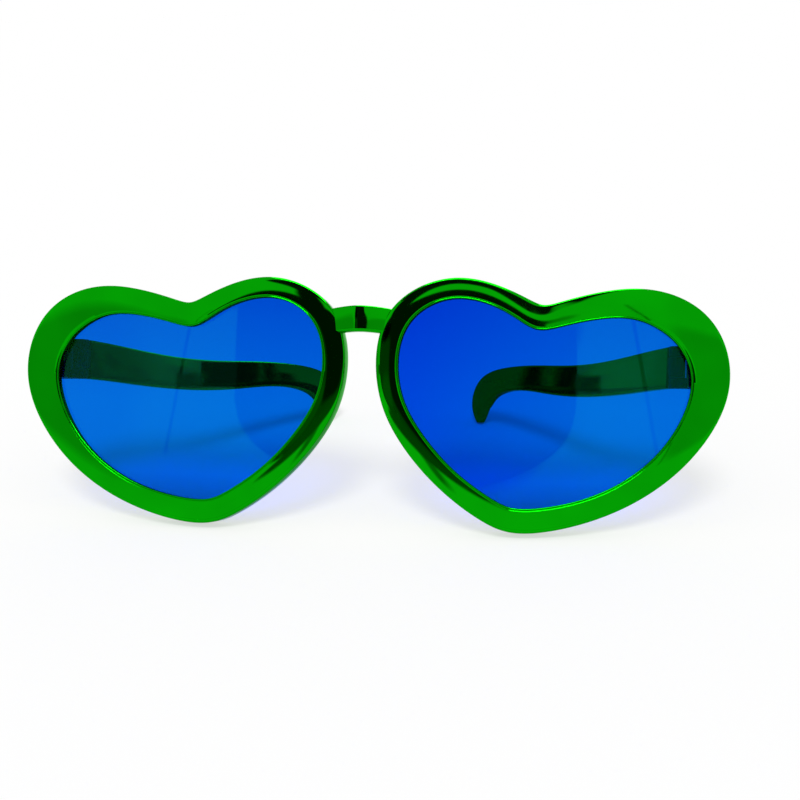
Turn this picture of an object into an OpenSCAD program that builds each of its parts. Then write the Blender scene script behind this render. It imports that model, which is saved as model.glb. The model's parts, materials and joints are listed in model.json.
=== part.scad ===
// Heart shaped party sunglasses, jumbo size. One moulded front carries two tinted lenses in
// grooves, and two moulded temples fold on hinges with steel screws.
// Each piece is drawn in the wearer's frame (x across, y back, z up, the bridge at x = 0),
// and stand() then sets the whole pair down on its heart tips and ear hooks.

/* [Front] */
// Width of one heart, from its nose side to its outer side
heart_w = 134; // [122:1:146]
// Height of one heart
heart_h = 97; // [89:1:105]
// Gap between the two hearts
nose_gap = 12.4; // [10:0.2:16]
// Usual width of a rim, seen from the front
rim_w = 10; // [9:0.25:11]
// Depth of a rim's outer wall, from its front edge to its back
rim_depth = 7.5; // [6.5:0.25:9]
// Rise of a rim's face above its outer edge
rim_crown = 1.1; // [0.6:0.1:1.6]
// Rounding of a rim's outer edge
edge_r = 1; // [0.6:0.1:1.3]
// Width of the bead round each lens opening
bead_w = 0.9; // [0.6:0.1:1.2]
// Thickness of the moulding's walls
wall = 1.8; // [1.4:0.1:2.2]
// Radius that the whole front is bent to, seen from above
wrap_r = 950; // [700:50:1500]

/* [Bridge] */
// Height of the bridge bar
bridge_h = 10; // [8:0.5:12]
// Thickness of the bridge bar
bridge_t = 4.4; // [3.6:0.2:5]
// Height of the bar's middle above the middle of the hearts
bridge_rise = 31.5; // [28:0.5:35]
// Rise of the bar from its ends to its middle
bridge_arch = 1.2; // [0:0.1:2]
// How far the bar's ends lie behind the rims' front edges
bridge_set = 1.2; // [0.8:0.1:1.6]
// Slope of the bar's two halves, which meet in a rounded ridge, in degrees
bridge_slope = 18; // [12:1:22]
// Radius of that ridge
ridge_r = 9; // [6:0.5:12]
// Width of the bevel along the bar's lower front edge
bridge_bevel = 1.2; // [0.8:0.1:1.6]

/* [Lenses] */
// Thickness of a lens
lens_t = 1; // [0.8:0.1:1.2]
// How far a lens reaches into the rim's groove
lens_bite = 1; // [0.8:0.1:1.2]
// Clearance of a lens in its groove
lens_play = 0.1; // [0.05:0.01:0.15]
// Depth of a lens's front behind the rim's outer edge
lens_back = 1.9; // [1.6:0.1:2.2]

/* [Temples] */
// Length of a temple, from its hinge to the back of its ear hook
temple_len = 140.5; // [125:0.5:150]
// Height of a temple at its hinge
temple_h = 16.2; // [15:0.2:18]
// Thickness of a temple at its hinge
temple_t = 4.4; // [4:0.2:5]
// Thickness of a temple at the end of its ear hook
hook_t = 3.2; // [2.8:0.2:3.8]
// Bevel along a temple's edges
temple_edge = 0.9; // [0.6:0.1:1.2]
// Drop of the ear hook's tip below the temple's middle at the hinge
hook_drop = 19.3; // [16:0.5:24]
// How far the temples are folded in where the pair stands, in degrees
fold = 38.7; // [30:0.1:44]

/* [Hinges] */
// Height of the hinges' middle above the middle of the hearts
hinge_rise = 16.7; // [14:0.5:19]
// Distance of a hinge's axis in from the edge of the lens opening
hinge_inset = 3.3; // [2.8:0.1:4]
// Distance of a hinge's axis behind the rim
hinge_back = 4.8; // [4.4:0.1:6]
// Radius of the hinge barrel
barrel_r = 3.2; // [3:0.1:3.6]
// Height of each ear of the front's lug
ear_h = 4; // [3.6:0.1:4.4]
// Clearance between an ear and the temple's tongue, end to end
ear_gap = 0.2; // [0.1:0.05:0.3]
// Clearance between the lug and the temple's end, which meet where the temple is open
stop_gap = 0.3; // [0.2:0.05:0.4]
// Width of the lug's root on the rim
root_w = 7; // [6:0.5:8]
// Diameter of the hinge screw
screw_d = 2.2; // [2:0.1:2.4]
// Clearance round the screw, on the radius
screw_play = 0.05; // [0.03:0.01:0.08]
// Diameter of the screw's head
head_d = 4; // [3.6:0.1:4.2]
// Height of the screw's head
head_h = 1.2; // [1:0.1:1.4]
// Clearance round and over the screw's head
head_play = 0.15; // [0.1:0.05:0.2]
// Height of the ear that is left under the screw's end
screw_end = 0.8; // [0.5:0.1:1.2]
// Width of the slot in the screw's head
slot_w = 0.7; // [0.5:0.1:0.9]
// Depth of that slot
slot_h = 0.5; // [0.4:0.1:0.6]

/* [Hidden] */
// Overrun of a cut past the face it opens
cut = 0.5;
// Stations between two points of a heart, along a temple's path and across the bridge
rim_steps = 4;
path_steps = 3;
bridge_steps = 14;
// The control points of a heart's outline, anticlockwise from the middle of the nose side:
// shares of the heart's width from its nose side, and of its height from its lowest point
heart_shares = [[-0.01, 0.555], [0.065, 0.345], [0.185, 0.16], [0.32, 0.03], [0.42, -0.02],
    [0.665, 0.06], [0.88, 0.25], [1.02, 0.55], [0.985, 0.815], [0.87, 0.95], [0.71, 0.985],
    [0.515, 0.91], [0.47, 0.885], [0.405, 0.945], [0.215, 1.04], [0, 0.89]];
// The rim's width at those points, as shares of its usual width
rim_shares = [0.9, 0.92, 0.9, 0.96, 1, 0.85, 1.05, 1.53, 1.78, 1.63, 1.1, 0.92, 1.06, 0.81,
    0.9, 1.06];
// Where the points across a rim's face lie, as shares of its width, and where it is highest
face_shares = [0.25, 0.45, 0.65, 0.82];
crown_share = 0.7;
// The bead beside the lens opening: shares of its width, in from the opening and back
bead_shares = [[1.5, 0], [1.15, 0.35], [0.65, -0.1], [0.15, 0.15], [0, 0.6]];
// Parts of the outline that are its nose side and its outer side, as shares of its width
nose_side_share = 0.2;
outer_side_share = 0.85;
// The control points of a temple's middle line: shares of its length behind the hinge, and of
// the hook's drop; and its height at those points, as shares of its height at the hinge
temple_shares = [[0, 0, 1], [0.08, -0.03, 0.96], [0.19, -0.1, 0.92], [0.31, -0.15, 0.87],
    [0.43, -0.14, 0.84], [0.54, -0.08, 0.8], [0.65, 0.01, 0.72], [0.765, 0.04, 0.67],
    [0.868, -0.03, 0.74], [0.93, -0.24, 0.9], [0.955, -0.52, 0.84], [0.955, -0.78, 0.56],
    [0.955, -0.94, 0.3], [0.955, -1, 0.14]];

function unit(v) = v / norm(v);

// One span of a uniform cubic B-spline: the point at share f of the span of four control points
function blend(p, f) = (pow(1 - f, 3) * p[0] + (3 * pow(f, 3) - 6 * pow(f, 2) + 4) * p[1]
    + (1 + 3 * f + 3 * pow(f, 2) - 3 * pow(f, 3)) * p[2] + pow(f, 3) * p[3]) / 6;

// Points along the closed and the open curve of a control polygon
function closed_curve(cp, steps) = [for (i = [0:len(cp) - 1], k = [0:steps - 1])
    blend([for (j = [0:3]) cp[(i + j) % len(cp)]], k / steps)];
function open_curve(cp, steps) = let (
    n = len(cp),
    q = concat([2 * cp[0] - cp[1]], cp, [2 * cp[n - 1] - cp[n - 2]]))
    concat([for (i = [0:n - 2], k = [0:steps - 1])
        blend([for (j = [0:3]) q[i + j]], k / steps)], [cp[n - 1]]);

// Depth of the front's reference surface, an arc seen from above, at a distance from the middle
function bend(x) = wrap_r - sqrt(pow(wrap_r, 2) - pow(x, 2));

// The outline of the right heart, and of its lens opening one rim width inside it
heart_points = [for (s = heart_shares) [nose_gap / 2 + s.x * heart_w, (s.y - 1 / 2) * heart_h]];
function inward(i) = let (
    n = len(heart_points),
    t = unit(heart_points[(i + 1) % n] - heart_points[(i + n - 1) % n]))
    [-t.y, t.x];
opening_points = [for (i = [0:len(heart_points) - 1])
    heart_points[i] + rim_w * rim_shares[i] * inward(i)];
outline = closed_curve(heart_points, rim_steps);
opening = closed_curve(opening_points, rim_steps);

// Height and place of each point of the two sides, so that lookup() reads a place at a height
nose_side = [for (p = outline) if (p.x < nose_gap / 2 + nose_side_share * heart_w) [p.y, p.x]];
outer_side = [for (p = outline) if (p.x > nose_gap / 2 + outer_side_share * heart_w) [p.y, p.x]];
lens_side = [for (p = opening)
    if (p.x > nose_gap / 2 + outer_side_share * heart_w - rim_w) [p.y, p.x]];

// The groove that a lens sits in, and the inner wall behind it
groove_t = lens_t + 2 * lens_play;
groove_in = lens_bite + lens_play;
lip_back = lens_back + groove_t + wall;

// A rim's section, w wide: how far in from the outer edge, and how far back. It runs up the
// outer wall, over the crowned face and the bead, down the opening with its groove, and through
// the hollow back.
function face_rise(share) = -rim_crown * (1 - pow((share - crown_share) / crown_share, 2));
function rim_section(w) = concat(
    [[0, rim_depth], [0, edge_r], [edge_r / 4, edge_r / 5], [edge_r, face_rise(edge_r / w)]],
    [for (s = face_shares) [s * w, face_rise(s)]],
    [for (b = bead_shares) [w - b.x * bead_w, face_rise(1) + b.y * bead_w]],
    [[w, lens_back], [w - groove_in, lens_back], [w - groove_in, lens_back + groove_t],
    [w - lens_play, lens_back + groove_t], [w - lens_play, lip_back],
    [w - groove_in - wall, lip_back], [w - groove_in - wall, wall], [wall, wall],
    [wall, rim_depth]]);
function rim_ring(i) = let (
    across = opening[i] - outline[i],
    u = unit(across))
    [for (p = rim_section(norm(across))) let (q = outline[i] + p.x * u)
        [q.x, bend(q.x) + p.y, q.y]];
rim_rings = [for (i = [0:len(outline) - 1]) rim_ring(i)];

// A lens's outline, which reaches into the groove
lens_outline = [for (i = [0:len(opening) - 1])
    opening[i] + lens_bite * unit(outline[i] - opening[i])];

// The bridge bar: its end inside the rims, its front at x, and its section (back, up)
bridge_end = lookup(bridge_rise + bridge_h / 2, nose_side) + wall;
ridge_c = ridge_r * tan(bridge_slope);
function roof(x) = tan(bridge_slope) * sqrt(pow(x, 2) + pow(ridge_c, 2));
function bridge_front(x) = bend(bridge_end) + bridge_set + roof(x) - roof(bridge_end);
bridge_section = let (h = bridge_h / 2, b = bridge_bevel, t = bridge_t)
    [[0, h - b / 2], [b / 2, h], [t - b / 2, h], [t, h - b / 2],
    [t, b / 2 - h], [t - b / 2, -h], [b, -h], [0, b - h]];
function bridge_ring(x) = [for (p = bridge_section)
    [x, bridge_front(x) + p.x,
    bridge_rise + bridge_arch * (1 / 2 - pow(x / bridge_end, 2)) + p.y]];

// A hinge: its axis, and the lug's root in the middle of the rim beside it
hinge_x = lookup(hinge_rise, lens_side) - hinge_inset;
hinge_y = bend(hinge_x) + rim_depth + hinge_back;
root_x = (lookup(hinge_rise, lens_side) + lookup(hinge_rise, outer_side)) / 2;
hinge_low = hinge_rise - temple_h / 2;
tongue_h = temple_h - 2 * ear_h - 2 * ear_gap;

// A temple, drawn straight back from its hinge's axis at x = 0 and y = 0
temple_start = barrel_r + stop_gap;
temple_path = open_curve([for (s = temple_shares)
    [temple_start + s.x * (temple_len - temple_start), hinge_rise + s.y * hook_drop,
    s.z * temple_h]], path_steps);
function temple_ring(i) = let (
    n = len(temple_path),
    c = temple_path[i],
    d = temple_path[min(i + 1, n - 1)] - temple_path[max(i - 1, 0)],
    u = i == 0 ? [0, 1] : unit([-d.y, d.x]),
    h = c.z / 2,
    t = (temple_t - (temple_t - hook_t) * pow(i / (n - 1), 2)) / 2,
    e = min(temple_edge, h / 2))
    [for (p = [[t, h - e], [t - e, h], [e - t, h], [-t, h - e],
        [-t, e - h], [e - t, -h], [t - e, -h], [t, e - h]])
        [p.x, c.x + p.y * u.x, c.y + p.y * u.y]];
temple_rings = [for (i = [0:len(temple_path) - 1]) temple_ring(i)];

// Where the right temple's points lie once it is folded in on its hinge
function folded(p) = [hinge_x + p.x * cos(fold) - p.y * sin(fold),
    hinge_y + p.x * sin(fold) + p.y * cos(fold), p.z];

// The pair leans back until its ear hooks come down to the level of its heart tips
function level(p, a) = p.z * cos(a) - p.y * sin(a);
function lowest(pts, a) = let (z = [for (p = pts) level(p, a)]) pts[search(min(z), z)[0]];
front_points = [for (ring = rim_rings, p = ring) p];
temple_points = [for (ring = temple_rings, p = ring) folded(p)];
function lean_from(a, turns) = turns == 0 ? a : let (
    f = lowest(front_points, a),
    t = lowest(temple_points, a))
    lean_from(atan2(t.z - f.z, t.y - f.y), turns - 1);
lean = lean_from(0, 5);
floor_z = min([for (p = front_points) level(p, lean)]);
reach = [for (p = concat(front_points, temple_points)) p.y * cos(lean) + p.z * sin(lean)];
middle_y = (min(reach) + max(reach)) / 2;
module stand() translate([0, -middle_y, -floor_z]) rotate([-lean, 0, 0]) children();

// A skin of triangles over rings of points; the last ring joins the first where closed is true
function skin_faces(rings, points, closed) = [
    for (i = [0:rings - (closed ? 1 : 2)], k = [0:points - 1]) let (
        a = i * points + k,
        b = i * points + (k + 1) % points,
        c = (i + 1) % rings * points + k,
        d = (i + 1) % rings * points + (k + 1) % points)
        each [[a, b, d], [a, d, c]]];
module loft(rings, closed = false) {
    n = len(rings);
    m = len(rings[0]);
    caps = closed ? [] : [
        for (k = [1:m - 2]) each [[0, k + 1, k],
            [(n - 1) * m, (n - 1) * m + k, (n - 1) * m + k + 1]]];
    polyhedron([for (ring = rings, p = ring) p], concat(skin_faces(n, m, closed), caps));
}

// The right hinge's lug on the front: a root on the rim, its outer corner cut back, a web from
// there to the temple's barrel that closes the gap behind the lip, and two ears with the
// screw's hole
module lug() {
    root_in = root_x - root_w / 2;
    root_out = root_x + root_w / 2;
    root_front = bend(root_x) + wall / 2;
    web_in = hinge_x + temple_start;
    web_front = bend(hinge_x) + lip_back - wall / 2;
    difference() {
        union() {
            translate([0, 0, hinge_low]) linear_extrude(temple_h)
                polygon([[root_in, root_front], [root_out, root_front],
                    [root_out, hinge_y - barrel_r / 2], [root_x, hinge_y + barrel_r],
                    [web_in, hinge_y + barrel_r], [web_in, web_front], [root_in, web_front]]);
            for (z = [hinge_low, hinge_low + temple_h - ear_h]) {
                translate([hinge_x, hinge_y, z]) cylinder(r = barrel_r, h = ear_h, $fn = 48);
                translate([hinge_x, hinge_y - barrel_r, z])
                    cube([root_x - hinge_x, 2 * barrel_r, ear_h]);
            }
        }
        translate([hinge_x, hinge_y, hinge_low - cut])
            cylinder(d = screw_d + 2 * screw_play, h = temple_h + 2 * cut, $fn = 32);
        translate([hinge_x, hinge_y, hinge_low + temple_h - head_h - head_play])
            cylinder(d = head_d + 2 * head_play, h = head_h + head_play + cut, $fn = 32);
    }
}

module right_rim() {
    loft(rim_rings, closed = true);
    lug();
}

module bridge() loft([for (i = [-bridge_steps / 2:bridge_steps / 2])
    bridge_ring(2 * i / bridge_steps * bridge_end)]);

module front_frame() color("green") stand() {
    right_rim();
    mirror([1, 0, 0]) right_rim();
    bridge();
}

// The right lens: a sheet cut to the heart and bent to the front's arc
module lens() {
    half = heart_h / 2 + cut;
    module inside(depth) translate([0, wrap_r + depth, -half])
        cylinder(r = wrap_r, h = 2 * half, $fn = 720);
    difference() {
        intersection() {
            translate([0, wrap_r / 2, 0]) rotate([90, 0, 0])
                linear_extrude(wrap_r) polygon(lens_outline);
            inside(lens_back + lens_play);
        }
        inside(lens_back + lens_play + lens_t);
    }
}
module lens_right() color([0.1, 0.4, 0.9, 0.6]) stand() lens();
module lens_left() color([0.1, 0.4, 0.9, 0.6]) stand() mirror([1, 0, 0]) lens();

// The right temple: a blade with its ear hook, and the tongue that turns between the lug's ears
module temple() translate([hinge_x, hinge_y, 0]) rotate([0, 0, fold]) difference() {
    union() {
        loft(temple_rings);
        translate([0, 0, hinge_rise - tongue_h / 2]) {
            cylinder(r = barrel_r, h = tongue_h, $fn = 48);
            translate([stop_gap - temple_t / 2, 0, 0])
                cube([temple_t - 2 * stop_gap, 2 * temple_start, tongue_h]);
        }
    }
    translate([0, 0, hinge_low]) cylinder(d = screw_d + 2 * screw_play, h = temple_h, $fn = 32);
}
module temple_right() color("darkgreen") stand() temple();
module temple_left() color("darkgreen") stand() mirror([1, 0, 0]) temple();

// The right hinge's screw, its head sunk in the upper ear
module screw() {
    top = hinge_low + temple_h - head_play;
    end = hinge_low + screw_end;
    translate([hinge_x, hinge_y, 0]) difference() {
        union() {
            translate([0, 0, top - head_h]) cylinder(d = head_d, h = head_h, $fn = 32);
            translate([0, 0, end]) cylinder(d = screw_d, h = top - head_h / 2 - end, $fn = 32);
        }
        translate([-head_d / 2, -slot_w / 2, top - slot_h])
            cube([head_d, slot_w, slot_h + head_play]);
    }
}
module hinge_screw_right() color("silver") stand() screw();
module hinge_screw_left() color("silver") stand() mirror([1, 0, 0]) screw();

front_frame();
lens_left();
lens_right();
temple_left();
temple_right();
hinge_screw_left();
hinge_screw_right();
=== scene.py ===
# %% [markdown]
# # Heart shaped party sunglasses
# The real object is a jumbo pair: one moulded front with a mirror-bright green skin, two clear
# blue lenses sprung into it, and two moulded temples that fold on small screws. Mirror-bright
# plastic shows every facet, so the plain frame model can't simply be shaded: this lesson works
# the same shapes out again, finely, from the same few sizes, and lets the frame say where they
# stand. The cell below loads that frame and gives a helper that measures the box of what is shown.

# %% The frame
import json
import math

import bpy
import numpy as np
from mathutils import Matrix, Vector


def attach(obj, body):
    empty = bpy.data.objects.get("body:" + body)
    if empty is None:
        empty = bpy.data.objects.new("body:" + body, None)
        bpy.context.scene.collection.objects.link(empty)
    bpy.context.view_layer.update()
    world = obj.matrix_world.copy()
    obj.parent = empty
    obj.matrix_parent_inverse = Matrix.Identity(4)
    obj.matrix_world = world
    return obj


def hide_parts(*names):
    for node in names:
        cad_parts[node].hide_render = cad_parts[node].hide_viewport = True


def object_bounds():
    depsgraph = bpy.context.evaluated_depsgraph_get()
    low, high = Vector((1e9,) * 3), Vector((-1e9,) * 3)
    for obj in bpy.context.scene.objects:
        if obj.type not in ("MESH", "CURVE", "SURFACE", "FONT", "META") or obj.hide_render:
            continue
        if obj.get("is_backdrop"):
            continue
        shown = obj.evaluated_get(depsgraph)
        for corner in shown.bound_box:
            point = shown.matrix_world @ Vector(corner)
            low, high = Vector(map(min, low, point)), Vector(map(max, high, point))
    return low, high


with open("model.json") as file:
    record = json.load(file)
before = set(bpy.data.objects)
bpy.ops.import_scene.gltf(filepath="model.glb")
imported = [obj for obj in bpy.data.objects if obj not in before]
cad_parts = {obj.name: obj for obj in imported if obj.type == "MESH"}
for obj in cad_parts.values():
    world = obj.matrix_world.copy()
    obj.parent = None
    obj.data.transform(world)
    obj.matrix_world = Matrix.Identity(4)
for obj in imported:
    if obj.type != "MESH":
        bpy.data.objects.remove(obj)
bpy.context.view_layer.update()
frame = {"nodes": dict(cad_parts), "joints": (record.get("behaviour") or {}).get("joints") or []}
MM = 0.001
print("nodes:", ", ".join(sorted(frame["nodes"])))

# %% [markdown]
# ## Sizes
# All lengths are in millimetres, in the wearer's own frame: x across, y back and z up, with the
# bridge at x = 0. A heart is drawn by sixteen control points, written as shares of its width
# and height. At each of them the rim's width is a share of its usual width, the crown of its
# face a share of the usual rise, and the crown's top lies at a share of the way across.

# %% The front's sizes
HEART_W, HEART_H, NOSE_GAP = 134.0, 97.0, 12.4
RIM_W, RIM_DEPTH, RIM_CROWN = 10.0, 7.5, 1.1
EDGE_R, BEAD_W, WALL, WRAP_R = 1.0, 0.6, 1.8, 950.0
HEART_SHARES = np.array([
    [-0.01, 0.555], [0.065, 0.345], [0.185, 0.16], [0.32, 0.03], [0.42, -0.02], [0.665, 0.06],
    [0.88, 0.25], [1.02, 0.55], [0.985, 0.815], [0.87, 0.95], [0.71, 0.985], [0.515, 0.91],
    [0.47, 0.885], [0.405, 0.945], [0.215, 1.04], [0, 0.89]])
RIM_SHARES = np.array([0.9, 0.92, 0.9, 0.96, 1, 0.85, 1.05, 1.53, 1.78, 1.63, 1.1, 0.92, 1.06,
                       0.81, 0.9, 1.06])
CROWN_RISE_SHARES = np.array([1, 0.9, 0.75, 0.55, 0.45, 0.45, 0.45, 0.45, 0.45, 0.45, 0.45, 0.4,
                              1.1, 1, 1, 1])
CROWN_PLACE_SHARES = np.array([0.8, 0.7, 0.7, 0.7, 0.7, 0.7, 0.7, 0.7, 0.7, 0.7, 0.7, 0.7, 0.75,
                               0.9, 1, 0.95])
print("hearts:", HEART_W, "x", HEART_H, "mm, drawn by", len(HEART_SHARES), "points")

# %% The other pieces' sizes
BRIDGE_H, BRIDGE_T, BRIDGE_RISE, BRIDGE_ARCH = 10.0, 4.4, 31.5, 1.2
BRIDGE_SET, BRIDGE_SLOPE, BRIDGE_BEVEL = 1.6, math.radians(24), 1.0
RIDGE_R, RIDGE_ASIDE = 5.2, -0.6
LENS_T, LENS_BITE, LENS_PLAY, LENS_BACK = 1.0, 1.0, 0.1, 1.9
TEMPLE_LEN, TEMPLE_H, TEMPLE_T, HOOK_T = 140.5, 16.2, 4.4, 3.2
TEMPLE_EDGE, HOOK_DROP, FOLD = 0.9, 19.3, math.radians(38.7)
TEMPLE_DRAFT = math.radians(2)
HINGE_RISE, HINGE_BACK, BARREL_R = 16.7, 4.8, 3.2
EAR_H, EAR_GAP, STOP_GAP, ROOT_W = 4.0, 0.2, 0.3, 7.0
SCREW_D, SCREW_PLAY, HEAD_D, HEAD_H, HEAD_PLAY = 2.2, 0.05, 4.0, 1.2, 0.15
TEMPLE_SHARES = np.array([
    [0, 0, 1], [0.08, -0.03, 0.96], [0.19, -0.1, 0.92], [0.31, -0.15, 0.87], [0.43, -0.14, 0.84],
    [0.54, -0.08, 0.8], [0.65, 0.01, 0.72], [0.765, 0.04, 0.67], [0.868, -0.03, 0.74],
    [0.93, -0.24, 0.9], [0.955, -0.52, 0.84], [0.955, -0.78, 0.56], [0.955, -0.94, 0.3],
    [0.955, -1, 0.14]])
print("temples reach", TEMPLE_LEN, "mm back from their hinges")

# %% [markdown]
# ## Curves and standing
# A uniform cubic B-spline runs smoothly past its control points, so a few of them draw a round
# outline with no kinks, which a mirror would show at once. The pair stands leaning back on its
# heart tips and ear hooks. The hinge axis in the frame says how far: it is the wearer's own
# upright, so its tilt is the lean, and the hinge's place gives the shift.

# %% Curves
OUTLINE_STEPS = 4


def spline_span(control, f):
    """The B-spline's span of four control points at shares f: the usual cubic weights, summed."""
    f = f[:, None]
    return ((1 - f) ** 3 * control[0] + (3 * f ** 3 - 6 * f ** 2 + 4) * control[1]
            + (1 + 3 * f + 3 * f ** 2 - 3 * f ** 3) * control[2] + f ** 3 * control[3]) / 6


def closed_curve(control, steps):
    """Points along the closed B-spline, steps of them for each control point."""
    f = np.arange(steps) / steps
    n = len(control)
    return np.concatenate([spline_span(control[(np.arange(4) + i) % n], f) for i in range(n)])


def open_curve(control, steps):
    """Points along the B-spline from the first control point to the last, which it meets
    because each end is continued by its neighbour's mirror image."""
    q = np.vstack([2 * control[0] - control[1], control, 2 * control[-1] - control[-2]])
    f = np.arange(steps) / steps
    spans = [spline_span(q[i:i + 4], f) for i in range(len(control) - 1)]
    return np.concatenate(spans + [control[-1:]])


def bend(x):
    """Depth of the front's arc at x: the radius less the rest of the right-angled triangle."""
    return WRAP_R - np.sqrt(WRAP_R ** 2 - x ** 2)


heart = np.column_stack([NOSE_GAP / 2 + HEART_SHARES[:, 0] * HEART_W,
                         (HEART_SHARES[:, 1] - 0.5) * HEART_H])
# The opening's control points are the heart's, each moved in by the rim's width, square to it
along = np.roll(heart, -1, 0) - np.roll(heart, 1, 0)
along /= np.linalg.norm(along, axis=1, keepdims=True)
opening = heart + RIM_W * RIM_SHARES[:, None] * np.column_stack([-along[:, 1], along[:, 0]])
rim_edge, lens_edge = closed_curve(heart, OUTLINE_STEPS), closed_curve(opening, OUTLINE_STEPS)
print("heart from x", round(rim_edge[:, 0].min(), 2), "to", round(rim_edge[:, 0].max(), 2), "mm")

# %% Standing
joints = {j["name"]: j for j in frame["joints"]}
fold_joint = joints["temple_right_fold"]
HINGE_X = fold_joint["pos_m"][0] / MM
HINGE_Y = float(bend(HINGE_X)) + RIM_DEPTH + HINGE_BACK
LEAN = math.atan2(fold_joint["axis"][1], fold_joint["axis"][2])
# A turn about x by the lean, as a matrix
LEANING = np.array([[1, 0, 0], [0, math.cos(LEAN), math.sin(LEAN)],
                    [0, -math.sin(LEAN), math.cos(LEAN)]])
SHIFT = np.array(fold_joint["pos_m"]) / MM - LEANING @ [HINGE_X, HINGE_Y, HINGE_RISE]


def stand(points):
    """The wearer's frame in mm to the standing pair's in metres: lean back, then shift."""
    return (np.asarray(points) @ LEANING.T + SHIFT) * MM


print("lean", round(math.degrees(LEAN), 2), "degrees; hinge at", round(HINGE_X, 2),
      round(HINGE_Y, 2), "mm")

# %% [markdown]
# ## From grids to meshes
# Every piece here is a grid of points: one direction runs round or along the piece, the other
# round its section. Small helpers turn such a grid into quads and close its ends. The one that
# makes the piece checks by the signed volume that the faces look outwards, because mirroring
# turns them round.

# %% Mesh helpers
def grid_quads(rows, columns, round_rows=False):
    """Quads of a grid whose columns close up; its rows close up too where round_rows is true."""
    i = np.arange(rows if round_rows else rows - 1)[:, None]
    k = np.arange(columns)[None, :]
    here, there, beside = i * columns, (i + 1) % rows * columns, (k + 1) % columns
    return np.stack([here + k, here + beside, there + beside, there + k], -1).reshape(-1, 4)


def fan(ring, centre):
    """Triangles from the points of a closed ring to one point that closes it."""
    return np.column_stack([ring, np.roll(ring, -1), np.full(len(ring), centre)])


def looped(grid):
    """Points and faces of a grid that closes up both ways."""
    return grid.reshape(-1, 3), [grid_quads(*grid.shape[:2], round_rows=True)]


def capped(rings, poles=None):
    """Points and faces of a run of rings whose two ends are closed by fans to its poles, which
    are the middles of the end rings unless they are given."""
    rows, columns = rings.shape[:2]
    count, ring = rows * columns, np.arange(columns)
    poles = rings[[0, -1]].mean(1) if poles is None else poles
    faces = [grid_quads(rows, columns), fan(ring[::-1], count),
             fan(count - columns + ring, count + 1)]
    return np.concatenate([rings.reshape(-1, 3), poles]), faces


def make_piece(name, points, faces, material, body, slot, sharp_degrees=38):
    """A piece from points in mm in the wearer's frame and a list of face arrays. Its signed
    volume is a sixth of the sum of its triangles' triple products, below zero where the faces
    look inwards."""
    flat = [tuple(f) for group in faces for f in group.tolist()]
    mesh = bpy.data.meshes.new(name)
    mesh.from_pydata(stand(points).tolist(), [], flat)
    mesh.update()
    mesh.calc_loop_triangles()
    corners = np.empty(len(mesh.loop_triangles) * 3, np.int32)
    mesh.loop_triangles.foreach_get("vertices", corners)
    a, b, c = stand(points)[corners].reshape(-1, 3, 3).transpose(1, 0, 2)
    volume = np.einsum("ij,ij->i", a, np.cross(b, c)).sum() / 6 / MM ** 3
    if volume < 0:
        mesh.flip_normals()
    mesh.shade_smooth()
    mesh.set_sharp_from_angle(angle=math.radians(sharp_degrees))
    mesh.materials.append(material)
    piece = bpy.data.objects.new(name, mesh)
    bpy.context.scene.collection.objects.link(piece)
    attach(piece, body)
    print(f"{name}: {len(mesh.vertices)} points, {len(mesh.polygons)} faces,",
          f"{abs(volume):.0f} mm3")
    return piece


def rounded(corners, radii, steps=5, most=0.45):
    """Corners of a closed section, shaped (sections, corners, 2), each cut by an arc of its
    radius: the arc starts and ends at the tangent length, radius times tan(turn / 2), from the
    corner, but at most at that share of the shorter side, and its points are a quadratic blend
    of both ends and the corner."""
    before = np.roll(corners, 1, 1) - corners
    after = np.roll(corners, -1, 1) - corners
    la, lb = np.linalg.norm(before, axis=2), np.linalg.norm(after, axis=2)
    before, after = before / la[..., None], after / lb[..., None]
    turn = np.pi - np.arccos(np.clip((before * after).sum(2), -1, 1))
    length = np.minimum(np.asarray(radii)[None, :] * np.tan(turn / 2), most * np.minimum(la, lb))
    f = np.linspace(0, 1, steps)[None, None, :, None]
    start = (corners + before * length[..., None])[:, :, None, :]
    end = (corners + after * length[..., None])[:, :, None, :]
    middle = corners[:, :, None, :]
    arcs = (1 - f) ** 2 * start + 2 * f * (1 - f) * middle + f ** 2 * end
    keep = [arcs[:, i] if r > 0 else corners[:, i:i + 1] for i, r in enumerate(radii)]
    return np.concatenate(keep, 1)


print("mesh helpers ready")

# %% [markdown]
# ## Finishes
# The front and temples are plastic with a metal skin under a green lacquer: a mirror whose own
# colour is green. Its base colour is the green that white turns to in it. A metal goes white at
# a glancing view unless its edge tint says otherwise, and light that crosses this lacquer stays
# green, so the tint is green too. A real skin is never quite even, so a broad noise bends the
# reflections slightly, a second one lets the lacquer's colour drift between thin and full, and
# a fine one varies the roughness. The parts in the narrow hinge lie in shade, and that shade is
# painted: they are a dull, patchy dark green. Each noise runs from 0 to 1 but is mostly near
# the middle, so the spans below say which stretch of it makes the whole change.

# %% Node helpers
def new_material(name):
    """A new material, its node tree and its Principled shader, all still plain."""
    material = bpy.data.materials.new(name)
    material.use_nodes = True
    tree = material.node_tree
    shader = tree.nodes["Principled BSDF"]
    return material, tree, shader


def add(tree, kind, settings=None, **inputs):
    """A node with its settings. Each input is a value to set or another node's output to join,
    and goes by its socket's name, or by i and its place where sockets share a name."""
    node = tree.nodes.new(kind)
    for key, value in (settings or {}).items():
        setattr(node, key, value)
    for key, value in inputs.items():
        by_place = key[0] == "i" and key[1:].isdigit()
        socket = node.inputs[int(key[1:]) if by_place else key.replace("_", " ")]
        if isinstance(value, bpy.types.NodeSocket):
            tree.links.new(value, socket)
        else:
            socket.default_value = value
    return node


def object_coordinates(tree):
    """The piece's own coordinates, in metres, which stay on it however it moves."""
    return add(tree, "ShaderNodeTexCoord").outputs["Object"]


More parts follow.
